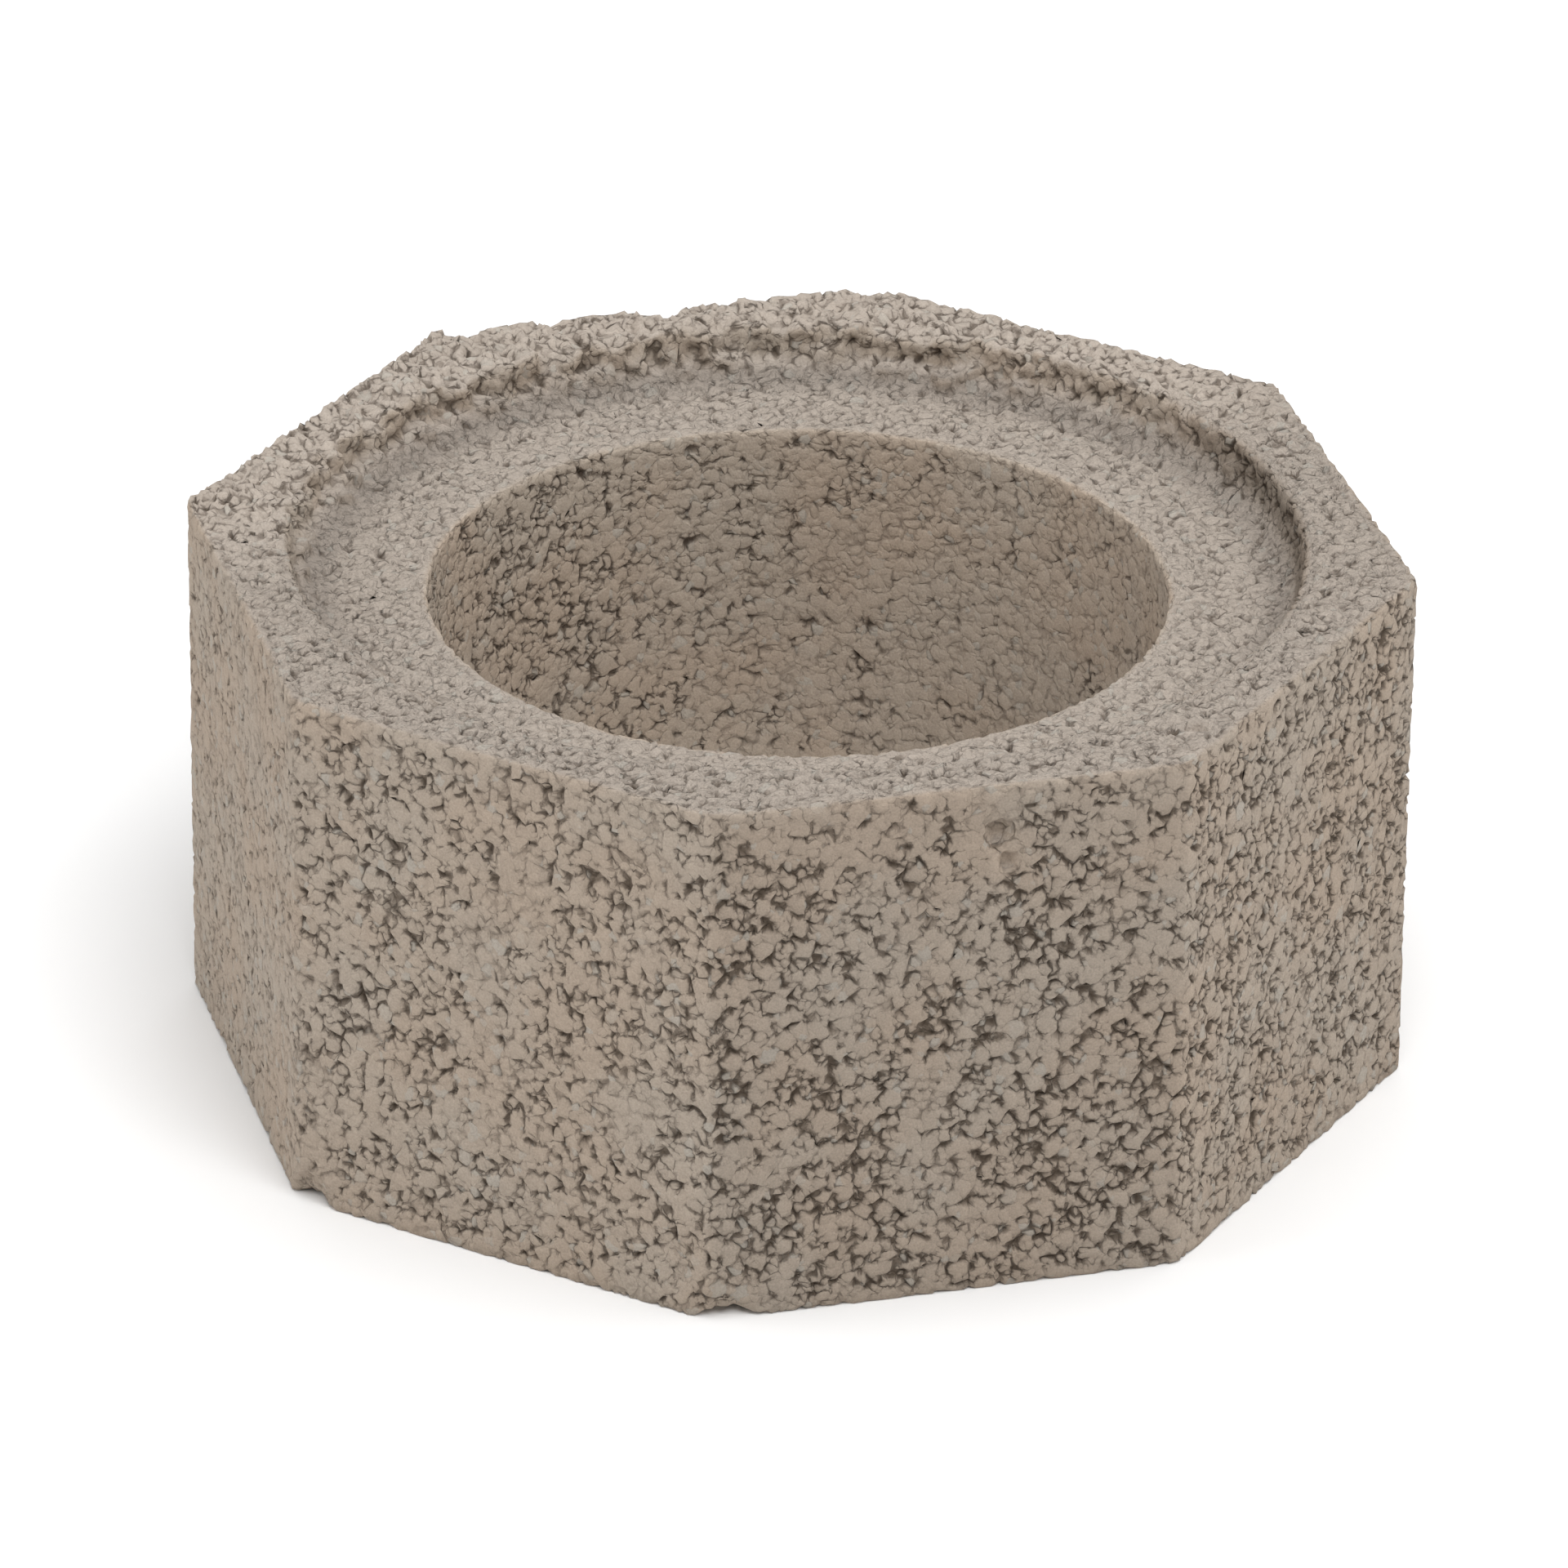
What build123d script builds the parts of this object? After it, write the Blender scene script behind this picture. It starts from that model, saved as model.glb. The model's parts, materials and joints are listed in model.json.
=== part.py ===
"""Flue starter block: the first block of a flue, cast in lightweight concrete.

An octagonal block with a round flue right through it. The top has a shallow round
socket, and the first flue liner stands on the ledge in it. The block rests on its base.

Millimetres, +Z up. The origin is the centre of the base, and two of the eight flat
sides are square to X and two are square to Y.
"""
import os

from build123d import *

# The flue, and the walls around it from the inside out
flue_diameter = 200.0
ledge_width = 36.0  # from the flue to the socket's wall
rim_width = 19.0  # from the socket's wall to the middle of a flat side

# Heights
block_height = 150.0
socket_depth = 15.0  # from the top down to the ledge

# Roundings
corner_radius = 3.5  # upright corners, as the mould leaves them
top_edge_radius = 2.0  # outer edge of the top, worn in handling
lip_radius = 2.0  # inner edge of the rim
foot_radius = 3.0  # between the socket's wall and the ledge
mouth_radius = 2.0  # between the ledge and the flue

# Sizes that follow from these
flue_radius = flue_diameter / 2
socket_radius = flue_radius + ledge_width
flat_distance = socket_radius + rim_width  # from the axis to each flat side
ledge_height = block_height - socket_depth
flat_side_count = 8
overshoot = 5.0  # how far the turned cut runs past the top and the base


def rounded_corner(corner, arrive, leave, radius):
    """Return the start, middle and end of the arc that rounds a square corner.

    Args:
        corner: the sharp corner's place in the profile.
        arrive: unit direction in which the outline comes to the corner.
        leave: unit direction in which it goes on, square to arrive.
        radius: radius of the rounding.

    Returns:
        Three points, for a ThreePointArc.
    """
    start = corner - arrive * radius
    end = corner + leave * radius
    centre = start + leave * radius
    middle = centre + (corner - centre).normalized() * radius
    return start, middle, end


inwards = Vector(-1, 0)
downwards = Vector(0, -1)

with BuildPart() as starter_block:
    # The octagonal body, with its upright corners and its top edge rounded
    with BuildSketch(Plane.XY):
        RegularPolygon(
            radius=flat_distance,
            side_count=flat_side_count,
            major_radius=False,
            rotation=180 / flat_side_count,
        )
    extrude(amount=block_height)
    fillet(starter_block.edges().filter_by(Axis.Z), radius=corner_radius)
    top_face = starter_block.faces().sort_by(Axis.Z)[-1]
    fillet(top_face.outer_wire().edges(), radius=top_edge_radius)

    # Socket, ledge and flue are one turned cut, its profile drawn from the top down
    with BuildSketch(Plane.XZ):
        with BuildLine():
            lip = rounded_corner(Vector(socket_radius, block_height), inwards, downwards, lip_radius)
            foot = rounded_corner(Vector(socket_radius, ledge_height), downwards, inwards, foot_radius)
            mouth = rounded_corner(Vector(flue_radius, ledge_height), inwards, downwards, mouth_radius)
            above_lip = lip[0] - downwards * overshoot
            below_base = Vector(flue_radius, -overshoot)
            Polyline(below_base, (0, below_base.Y), (0, above_lip.Y), above_lip, lip[0])
            ThreePointArc(*lip)
            Line(lip[2], foot[0])
            ThreePointArc(*foot)
            Line(foot[2], mouth[0])
            ThreePointArc(*mouth)
            Line(mouth[2], below_base)
        make_face()
    revolve(axis=Axis.Z, mode=Mode.SUBTRACT)

starter_block.part.label = "starter_block"

os.makedirs("parts", exist_ok=True)
export_step(starter_block.part, "parts/starter_block.step")
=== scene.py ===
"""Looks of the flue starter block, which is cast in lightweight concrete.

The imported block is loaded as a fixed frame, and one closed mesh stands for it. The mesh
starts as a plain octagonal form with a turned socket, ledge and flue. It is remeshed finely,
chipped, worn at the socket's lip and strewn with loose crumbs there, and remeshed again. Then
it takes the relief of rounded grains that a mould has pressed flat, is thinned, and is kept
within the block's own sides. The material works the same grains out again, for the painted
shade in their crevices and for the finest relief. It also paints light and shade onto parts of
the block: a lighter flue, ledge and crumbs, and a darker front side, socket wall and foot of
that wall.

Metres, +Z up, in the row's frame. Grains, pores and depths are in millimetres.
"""
import json
import logging
import math
from collections.abc import Callable, Mapping
from dataclasses import dataclass, field
from enum import Enum
from typing import Any, Union

import bmesh
import bpy
from mathutils import Matrix, Vector


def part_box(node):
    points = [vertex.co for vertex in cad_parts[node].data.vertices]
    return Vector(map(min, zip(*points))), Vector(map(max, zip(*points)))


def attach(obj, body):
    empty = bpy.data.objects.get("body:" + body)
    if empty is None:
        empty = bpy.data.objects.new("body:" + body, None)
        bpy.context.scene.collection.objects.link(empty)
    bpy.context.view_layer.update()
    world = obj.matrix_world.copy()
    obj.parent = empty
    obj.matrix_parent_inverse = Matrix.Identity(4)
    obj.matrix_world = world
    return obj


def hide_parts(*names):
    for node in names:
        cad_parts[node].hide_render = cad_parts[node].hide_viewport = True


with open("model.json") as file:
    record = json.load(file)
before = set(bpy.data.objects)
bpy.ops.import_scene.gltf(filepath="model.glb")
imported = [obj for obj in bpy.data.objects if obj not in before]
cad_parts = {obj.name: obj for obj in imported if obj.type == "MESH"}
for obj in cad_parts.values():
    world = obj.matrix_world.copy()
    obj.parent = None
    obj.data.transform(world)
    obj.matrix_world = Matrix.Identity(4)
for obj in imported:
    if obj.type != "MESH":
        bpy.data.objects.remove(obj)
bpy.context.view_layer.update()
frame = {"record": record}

log = logging.getLogger("flue_starter_block")

CAD_NODE = "starter_block"
METRES_PER_MM = 0.001
MM_PER_METRE = 1000.0
SIDES = 8
HALF_TURN_OF_A_SIDE = math.pi / SIDES
CLOUD_ROUGHNESS = 0.55
SHAKE_ROUGHNESS = 0.5
NOISE_SPREAD = 4

Socket = bpy.types.NodeSocket
Number = Union["Signal", float]
Limits = tuple[float, float]
Colour = tuple[float, float, float]


class CastAttribute(Enum):
    """What the finished mesh remembers of its surface before the relief was cut."""

    PLACE = "cast_place"
    SHAKEN = "cast_shaken"
    NORMAL = "cast_normal"
    PRESS = "cast_press"
    COARSE_SINK = "cast_coarse_sink"
    # The next two are painted: how far down the painted shade of the crevices starts, and a factor
    # of painted light and shade on the colour.
    BARE = "cast_crevice_shade_lift"
    SHADE = "cast_tone_and_painted_light"
    ROUGH = "cast_rough"
    EDGE = "cast_edge"


class Signal:
    """A number that flows through a node tree, with maths written as Python expressions."""

    def __init__(self, graph: "Graph", socket: Socket) -> None:
        """Wrap an output socket of the graph's tree."""
        self.graph = graph
        self.socket = socket

    def _math(self, operation: str, *operands: Number) -> "Signal":
        """Add a Math node.

        Args:
            operation: the Math node's operation.
            operands: its inputs in order.

        Returns:
            The node's result.
        """
        inputs = dict(enumerate(operands))
        node = self.graph.node("ShaderNodeMath", {"operation": operation}, inputs)
        return Signal(self.graph, node.outputs[0])

    def __add__(self, other: Number) -> "Signal":
        """Return the sum."""
        return self._math("ADD", self, other)

    __radd__ = __add__

    def __sub__(self, other: Number) -> "Signal":
        """Return this less the other."""
        return self._math("SUBTRACT", self, other)

    def __rsub__(self, other: Number) -> "Signal":
        """Return the other less this."""
        return self._math("SUBTRACT", other, self)

    def __mul__(self, other: Number) -> "Signal":
        """Return the product."""
        return self._math("MULTIPLY", self, other)

    __rmul__ = __mul__

    def __truediv__(self, other: Number) -> "Signal":
        """Return this divided by the other."""
        return self._math("DIVIDE", self, other)

    def __neg__(self) -> "Signal":
        """Return this with its sign turned."""
        return self._math("MULTIPLY", self, -1.0)

    def __abs__(self) -> "Signal":
        """Return this without its sign."""
        return self._math("ABSOLUTE", self)

    def at_least(self, other: Number) -> "Signal":
        """Return the larger of the two."""
        return self._math("MAXIMUM", self, other)

    def at_most(self, other: Number) -> "Signal":
        """Return the smaller of the two."""
        return self._math("MINIMUM", self, other)

    def softly_at_least(self, other: Number, blend: float) -> "Signal":
        """Return the larger of the two, rounded over where they are within blend."""
        return self._math("SMOOTH_MAX", self, other, blend)

    def softly_at_most(self, other: Number, blend: float) -> "Signal":
        """Return the smaller of the two, rounded over where they are within blend."""
        return self._math("SMOOTH_MIN", self, other, blend)

    def root(self) -> "Signal":
        """Return the square root."""
        return self._math("SQRT", self)

    def below(self, other: Number) -> "Signal":
        """Return 1 where this is less than the other, and elsewhere 0."""
        return self._math("LESS_THAN", self, other)

    def ramp(self, low: float, high: float, start: Number = 0.0, end: Number = 1.0) -> "Signal":
        """Ease from one value to another as this goes from low to high, and hold it outside.

        Args:
            low: where the ramp starts.
            high: where it ends.
            start: the value at low.
            end: the value at high.

        Returns:
            The eased value.
        """
        settings = {"interpolation_type": "SMOOTHSTEP"}
        inputs = {"Value": self, "From Min": low, "From Max": high, "To Min": start, "To Max": end}
        node = self.graph.node("ShaderNodeMapRange", settings, inputs)
        return Signal(self.graph, node.outputs["Result"])


class Graph:
    """Adds nodes to one tree, of a material or of Geometry Nodes, and links them."""

    def __init__(self, tree: bpy.types.NodeTree) -> None:
        """Keep the tree that the nodes go into."""
        self.tree = tree

    def node(
        self,
        kind: str,
        settings: Mapping[str, Any] | None = None,
        inputs: Mapping[str | int, Any] | None = None,
    ) -> bpy.types.Node:
        """Add one node.

        Args:
            kind: the node's type.
            settings: its own properties, which are set first.
            inputs: a value, an output socket, a list of them or a Signal for each input,
                by name or place.

        Returns:
            The node.
        """
        made = self.tree.nodes.new(kind)
        for name, value in (settings or {}).items():
            setattr(made, name, value)
        for name, value in (inputs or {}).items():
            source = value.socket if isinstance(value, Signal) else value
            if isinstance(source, (Socket, list)):
                for socket in source if isinstance(source, list) else [source]:
                    self.tree.links.new(socket, made.inputs[name])
            else:
                made.inputs[name].default_value = source
        return made

    def signal(self, made: bpy.types.Node, output: str | int = 0) -> Signal:
        """Return one output of a node as a number."""
        return Signal(self, made.outputs[output])

    def vector(self, operation: str, inputs: Mapping[str | int, Any]) -> Socket:
        """Add a Vector Math node and return its vector."""
        return self.node("ShaderNodeVectorMath", {"operation": operation}, inputs).outputs[0]

    def parts(self, vector: Socket) -> tuple[Signal, Signal, Signal]:
        """Return a vector's or colour's three numbers."""
        made = self.node("ShaderNodeSeparateXYZ", inputs={"Vector": vector})
        return self.signal(made, 0), self.signal(made, 1), self.signal(made, 2)

    def _noise(
        self, place: Socket, size: float, detail: float, roughness: float
    ) -> bpy.types.Node:
        """Add a noise of a size in millimetres and return its node."""
        inputs = {"Vector": place, "Scale": 1 / size, "Detail": detail, "Roughness": roughness}
        return self.node("ShaderNodeTexNoise", {"noise_dimensions": "3D"}, inputs)

    def cloudiness(self, place: Socket, size: float, detail: float = 1.0) -> Signal:
        """Return a soft noise about 0.5.

        Args:
            place: where it is read, in millimetres.
            size: the clouds' size in millimetres.
            detail: how many finer octaves it has.

        Returns:
            The noise, mostly from 0.25 to 0.75.
        """
        return self.signal(self._noise(place, size, detail, CLOUD_ROUGHNESS))

    def shaken(self, place: Socket, size: float, reach: float, detail: float) -> Socket:
        """Return the place moved about by a vector noise.

        Args:
            place: where it is read, in millimetres.
            size: the noise's size in millimetres.
            reach: how far it moves the place at most, in millimetres.
            detail: how many finer octaves the noise has.

        Returns:
            The moved place.
        """
        made = self._noise(place, size, detail, SHAKE_ROUGHNESS)
        centred = self.vector("SUBTRACT", {0: made.outputs["Color"], 1: (0.5, 0.5, 0.5)})
        moved = self.vector("SCALE", {0: centred, "Scale": NOISE_SPREAD * reach})
        return self.vector("ADD", {0: place, 1: moved})


def deselect_everything() -> None:
    bpy.ops.object.select_all(action="DESELECT")


def apply_modifier(piece: bpy.types.Object, kind: str, settings: Mapping[str, Any]) -> None:
    """Add a modifier to a piece and apply it at once.

    Args:
        piece: the object, which becomes the active one.
        kind: the modifier's type.
        settings: its properties.
    """
    bpy.context.view_layer.objects.active = piece
    modifier = piece.modifiers.new(kind.lower(), kind)
    for name, value in settings.items():
        setattr(modifier, name, value)
    bpy.ops.object.modifier_apply(modifier=modifier.name)


@dataclass(frozen=True)
class BlockSizes:
    """The block's sizes in metres, of which the roundings are the source's own."""

    flat_distance: float
    height: float
    flue_radius: float
    socket_radius: float
    ledge_height: float
    corner_radius: float = 0.0035
    top_edge_radius: float = 0.002
    lip_radius: float = 0.002
    foot_radius: float = 0.003
    mouth_radius: float = 0.002

    @classmethod
    def from_frame(cls) -> "BlockSizes":
        """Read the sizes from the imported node's box and the record's mounts.

        Returns:
            The sizes in metres.
        """
        low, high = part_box(CAD_NODE)
        mounts = {mount["name"]: mount for mount in frame["record"]["mounts"]}
        return cls(
            flat_distance=(high.x - low.x) / 2,
            height=high.z - low.z,
            flue_radius=mounts["flue"]["dims"]["r_mm"] * METRES_PER_MM,
            socket_radius=mounts["liner_socket"]["dims"]["r_mm"] * METRES_PER_MM,
            ledge_height=mounts["liner_seat"]["pos_m"][2],
        )

    @property
    def corner_distance(self) -> float:
        """Distance from the axis to the sharp upright corners."""
        return self.flat_distance / math.cos(HALF_TURN_OF_A_SIDE)


EdgeTest = Callable[[Vector, Vector], bool]


@dataclass
class PlainForm:
    """The block's plain form: a ring of edges drawn up, in, down and shut."""

    sizes: BlockSizes
    pieces_per_side: int = 32
    corner_steps: int = 3
    edge_steps: int = 4
    foot_steps: int = 8
    foot_fill: float = 0.008
    near: float = 1e-5
    ring_near: float = 1e-4
    made: bpy.types.Object = field(init=False)

    def model(self, name: str) -> bpy.types.Object:
        """Model the closed form.

        Args:
            name: the object's name.

        Returns:
            The object, at the origin with its place in its mesh.
        """
        self._start_ring(name)
        self._raise_sides()
        self._turn_inside()
        self._close_base()
        self._round_edges()
        bpy.ops.object.mode_set(mode="OBJECT")
        return self.made

    def _start_ring(self, name: str) -> None:
        """Add the outline of the base as a ring of short edges.

        Args:
            name: the object's name.
        """
        deselect_everything()
        bpy.ops.mesh.primitive_circle_add(
            vertices=SIDES,
            radius=self.sizes.corner_distance,
            fill_type="NOTHING",
            rotation=(0, 0, HALF_TURN_OF_A_SIDE),
        )
        self.made = bpy.context.object
        self.made.name = name
        bpy.ops.object.transform_apply(location=True, rotation=True, scale=True)
        bpy.ops.object.mode_set(mode="EDIT")
        bpy.ops.mesh.select_mode(type="EDGE")
        bpy.ops.mesh.select_all(action="SELECT")
        bpy.ops.mesh.subdivide(number_cuts=self.pieces_per_side - 1)

    def _draw(self, rise: float) -> None:
        """Extrude the selected ring straight up, or down where rise is negative."""
        bpy.ops.mesh.extrude_edges_move(TRANSFORM_OT_translate={"value": (0, 0, rise)})

    def _resize_ring(self, radius: float) -> None:
        """Bring the selected round ring to a radius.

        Args:
            radius: the radius in metres.
        """
        mesh = bmesh.from_edit_mesh(self.made.data)
        radii = [v.co.xy.length for v in mesh.verts if v.select]
        share = radius / (sum(radii) / len(radii))
        bpy.ops.transform.resize(value=(share, share, 1))

    def _raise_sides(self) -> None:
        """Draw the flat sides up to the top."""
        self._draw(self.sizes.height)

    def _turn_inside(self) -> None:
        """Add the rim, socket, ledge and flue, from the top down."""
        self._draw(0)
        bpy.ops.transform.tosphere(value=1.0)
        self._resize_ring(self.sizes.socket_radius)
        self._draw(self.sizes.ledge_height - self.sizes.height)
        self._draw(0)
        self._resize_ring(self.sizes.flue_radius)
        self._draw(-self.sizes.ledge_height)

    def _close_base(self) -> None:
        """Bridge the flue's foot and the sides' foot, and turn every face outwards."""
        bpy.ops.mesh.select_all(action="DESELECT")
        mesh = bmesh.from_edit_mesh(self.made.data)
        for edge in mesh.edges:
            edge.select_set(edge.is_boundary)
        bmesh.update_edit_mesh(self.made.data)
        bpy.ops.mesh.bridge_edge_loops()
        bpy.ops.mesh.select_all(action="SELECT")
        bpy.ops.mesh.normals_make_consistent(inside=False)

    def _select_edges(self, fits: EdgeTest) -> None:
        """Select the edges whose two ends pass a test.

        Args:
            fits: the test.
        """
        bpy.ops.mesh.select_all(action="DESELECT")
        mesh = bmesh.from_edit_mesh(self.made.data)
        for edge in mesh.edges:
            edge.select_set(fits(edge.verts[0].co, edge.verts[1].co))
        bmesh.update_edit_mesh(self.made.data)

    def _across(self, place: Vector) -> float:
        """Return how far out a place is, square to the nearest flat side."""
        x, y = abs(place.x), abs(place.y)
        return max(x, y, (x + y) / math.sqrt(2))

    def _ring_edge(self, height: float, radius: float) -> EdgeTest:
        """Make a test for the edges of one round ring.

        Args:
            height: the ring's height in metres.
            radius: its radius in metres.

        Returns:
            The test.
        """

        def fits(start: Vector, end: Vector) -> bool:
            """Return whether both ends lie on the ring."""
            return all(
                abs(v.z - height) < self.near and abs(v.xy.length - radius) < self.ring_near
                for v in (start, end)
            )

        return fits

    def _upright_corner(self, start: Vector, end: Vector) -> bool:
        """Tell whether an edge runs up one of the block's corners.

        Args:
            start: one end of the edge.
            end: its other end.

        Returns:
            Whether it does.
        """
        at_corner = all(
            abs(v.xy.length - self.sizes.corner_distance) < self.near for v in (start, end)
        )
        return at_corner and abs(start.z - end.z) > self.sizes.height / 2

    def _top_outline(self, start: Vector, end: Vector) -> bool:
        """Tell whether an edge lies on the outer edge of the top.

        Args:
            start: one end of the edge.
            end: its other end.

        Returns:
            Whether it does.
        """
        low = min(start.z, end.z)
        across = min(self._across(start), self._across(end))
        margin = self.sizes.corner_radius / 2
        return low > self.sizes.height - self.near and across > self.sizes.flat_distance - margin

    def _round_edges(self) -> None:
        """Round the upright corners, then the edges of the top, socket and flue."""
        sizes = self.sizes
        offset = sizes.corner_radius * math.tan(HALF_TURN_OF_A_SIDE)
        self._select_edges(self._upright_corner)
        bpy.ops.mesh.bevel(offset=offset, segments=self.corner_steps, affect="EDGES")
        foot = self._ring_edge(sizes.ledge_height, sizes.socket_radius)
        lip = self._ring_edge(sizes.height, sizes.socket_radius)
        mouth = self._ring_edge(sizes.ledge_height, sizes.flue_radius)
        rounded = (
            (self._top_outline, sizes.top_edge_radius, self.edge_steps),
            (lip, sizes.lip_radius, self.edge_steps),
            (foot, sizes.foot_radius + self.foot_fill, self.foot_steps),
            (mouth, sizes.mouth_radius, self.edge_steps),
        )
        for fits, radius, steps in rounded:
            self._select_edges(fits)
            bpy.ops.mesh.bevel(offset=radius, segments=steps, affect="EDGES")


@dataclass(frozen=True)
class GrainSize:
    """One size of aggregate grain, in millimetres, with radii as shares of the spacing."""

    spacing: float
    least_radius: float
    most_radius: float
    sink: float


@dataclass(frozen=True)
class Pile:
    """What the pile of grains gives at a place: its depth, and a number for each grain."""

    depth: Signal
    lot: Signal


@dataclass(frozen=True)
class GrainPile:
    """Rounded grains of several sizes, packed at random and joined by cement paste."""

    coarse: GrainSize = GrainSize(6.1, 0.33, 0.60, 0.0)
    middle: GrainSize = GrainSize(3.6, 0.36, 0.60, 0.1)
    fine: GrainSize = GrainSize(2.3, 0.42, 0.62, 0.5)
    disorder: float = 0.92
    steepness: float = 1.3
    paste: float = 0.5
    shake_size: float = 3.6
    shake_reach: float = 1.2
    fine_shake_size: float = 1.3
    fine_shake_reach: float = 0.28

    def shaken(self, graph: Graph, place: Socket) -> Socket:
        """Return the place in millimetres, moved about so that the grains are less round."""
        return graph.shaken(place, self.shake_size, self.shake_reach, 1.0)

    def layer(self, graph: Graph, place: Socket, size: GrainSize) -> Pile:
        """Pile up the grains of one size.

        Args:
            graph: where the nodes go.
            place: the place in millimetres.
            size: the grains' size.

        Returns:
            How far the nearest grain's face lies below its own top, and its lot.
        """
        cells = graph.node(
            "ShaderNodeTexVoronoi",
            {"voronoi_dimensions": "3D", "feature": "F1"},
            {"Vector": place, "Scale": 1 / size.spacing, "Randomness": self.disorder},
        )
        reach = graph.signal(cells, "Distance") * size.spacing
        lot, other_lot, _ = graph.parts(cells.outputs["Color"])
        least = size.least_radius * size.spacing
        radius = other_lot * ((size.most_radius - size.least_radius) * size.spacing) + least
        inside = (radius * radius - reach * reach).at_least(0.0)
        beyond = (reach - radius).at_least(0.0)
        return Pile(radius - inside.root() + beyond * self.steepness + size.sink, lot)

    def pile(self, graph: Graph, place: Socket, coarse_sink: Number) -> Pile:
        """Pile up the grains of all sizes.

        Args:
            graph: where the nodes go.
            place: the shaken place in millimetres.
            coarse_sink: how much deeper the coarse grains lie than usual.

        Returns:
            The depth of whatever grain is uppermost, and that grain's lot.
        """
        shaken = graph.shaken(place, self.fine_shake_size, self.fine_shake_reach, 1.0)
        coarse = self.layer(graph, shaken, self.coarse)
        middle = self.layer(graph, shaken, self.middle)
        fine = self.layer(graph, shaken, self.fine)
        coarse_depth = coarse.depth + coarse_sink
        smaller = middle.depth.softly_at_most(fine.depth, self.paste)
        is_middle = middle.depth.below(fine.depth)
        is_coarse = coarse_depth.below(smaller)
        small_lot = middle.lot * is_middle + fine.lot * (1 - is_middle)
        lot = coarse.lot * is_coarse + small_lot * (1 - is_coarse)
        return Pile(coarse_depth.softly_at_most(smaller, self.paste), lot)


@dataclass(frozen=True)
class Relief:
    """The depth of the cast surface below the mould, in millimetres."""

    grains: GrainPile = GrainPile()
    roundness: float = 0.3
    loose_roundness: float = 0.1
    shoulder: float = 0.7
    deepest: float = 2.5
    deepest_blend: float = 1.8
    skin_size: float = 4.2
    skin_spread: float = 2.9
    lump_size: float = 3.6
    lump_floor: float = 0.35
    lump_depth: float = 4.2

    def depth(
        self, graph: Graph, place: Socket, press: Signal, coarse_sink: Signal, rough: Signal
    ) -> Pile:
        """Press the pile of grains against the mould.

        Args:
            graph: where the nodes go.
            place: the shaken place in millimetres.
            press: how far below the mould the cement skin fills the pile.
            coarse_sink: how much deeper the coarse grains lie.
            rough: how lumpy the surface is where no mould held it, from 0 to 1.

        Returns:
            The depth below the mould in millimetres, and the grain's lot.
        """
        pile = self.grains.pile(graph, place, coarse_sink)
        skin = press + (graph.cloudiness(place, self.skin_size) - 0.5) * self.skin_spread
        open_depth = (pile.depth - skin).softly_at_least(0.0, self.shoulder)
        held = open_depth.softly_at_most(self.deepest, self.deepest_blend)
        roundness = coarse_sink * self.loose_roundness + self.roundness
        rounded = pile.depth.at_most(skin) * roundness
        lumps = graph.cloudiness(place, self.lump_size, 3.0) - self.lump_floor
        lumps = lumps.at_least(0.0) * rough
        return Pile(held + rounded + lumps * self.lump_depth, pile.lot)


@dataclass(frozen=True)
class Spot:
    """A round spot on the surface, in millimetres."""

    place: tuple[float, float, float]
    reach: float
    strength: float
    flat: float = 0.3

    def share(self, graph: Graph, place: Socket) -> Signal:
        """Tell how much of the spot a place has.

        Args:
            graph: where the nodes go.
            place: the place in millimetres.

        Returns:
            1 near the spot's middle, easing to 0 at its reach.
        """
        away = graph.node(
            "ShaderNodeVectorMath", {"operation": "DISTANCE"}, {0: place, 1: self.place}
        )
        return graph.signal(away, "Value").ramp(self.reach * self.flat, self.reach, 1.0, 0.0)


@dataclass(frozen=True)
class Damage:
    """The chips, holes and worn corners that the block has from its mould and its handling."""

    losses: tuple[Spot, ...] = (
        Spot((-55.6, 155.0, 150.0), 7.0, 3.2),
        Spot((-31.0, 155.0, 150.0), 5.0, 2.4),
        Spot((1.2, 155.0, 150.0), 8.0, 3.4),
        Spot((62.2, 155.0, 150.0), 7.0, 3.0),
        Spot((71.6, -135.2, 150.0), 3.4, 3.0),
        Spot((12.6, -155.0, 135.0), 4.6, 4.0),
        Spot((15.0, -155.0, 126.4), 3.6, 3.4),
        Spot((-153.0, -66.5, 2.5), 8.0, 4.0),
        Spot((-157.8, -70.7, 150.0), 11.0, 3.0),
        Spot((-59.9, -155.0, 0.0), 10.0, 2.6),
    )
    skins: tuple[Spot, ...] = (
        Spot((13.5, -155.0, 145.0), 11.0, 2.6),
        Spot((-6.0, -155.0, 62.0), 12.0, 1.4),
    )

    def lost(self, graph: Graph, place: Socket) -> tuple[Signal, Signal]:
        """Work out what was lost.

        Args:
            graph: where the nodes go.
            place: the place in millimetres.

        Returns:
            The lost depth in millimetres, and the share of the strongest loss there.
        """
        depth: Number = 0.0
        share: Number = 0.0
        for loss in self.losses:
            here = loss.share(graph, place)
            depth = (here * loss.strength).at_least(depth)
            share = here.at_least(share)
        return depth, share

    def skin(self, graph: Graph, place: Socket) -> Signal:
        """Return how much more cement skin the smooth spots have."""
        parts = [spot.share(graph, place) * spot.strength for spot in self.skins]
        return sum(parts[1:], parts[0])


@dataclass(frozen=True)
class Surface:
    """What the mould and the wear have made of the surface at a place, and the light and shade
    painted on its colour.
    """

    press: Signal
    coarse_sink: Signal
    # These two are painted: how far the painted shade of the crevices is lifted, and a factor of
    # painted light and shade on the colour.
    bare: Signal
    shade: Signal
    rough: Signal


@dataclass(frozen=True)
class Masks:
    """Which part of the block a place belongs to, each as a share from 0 to 1."""

    upward: Signal
    downward: Signal
    outer_wall: Signal
    flue_wall: Signal
    in_socket: Signal
    crumbly: Signal
    growth: Signal


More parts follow.
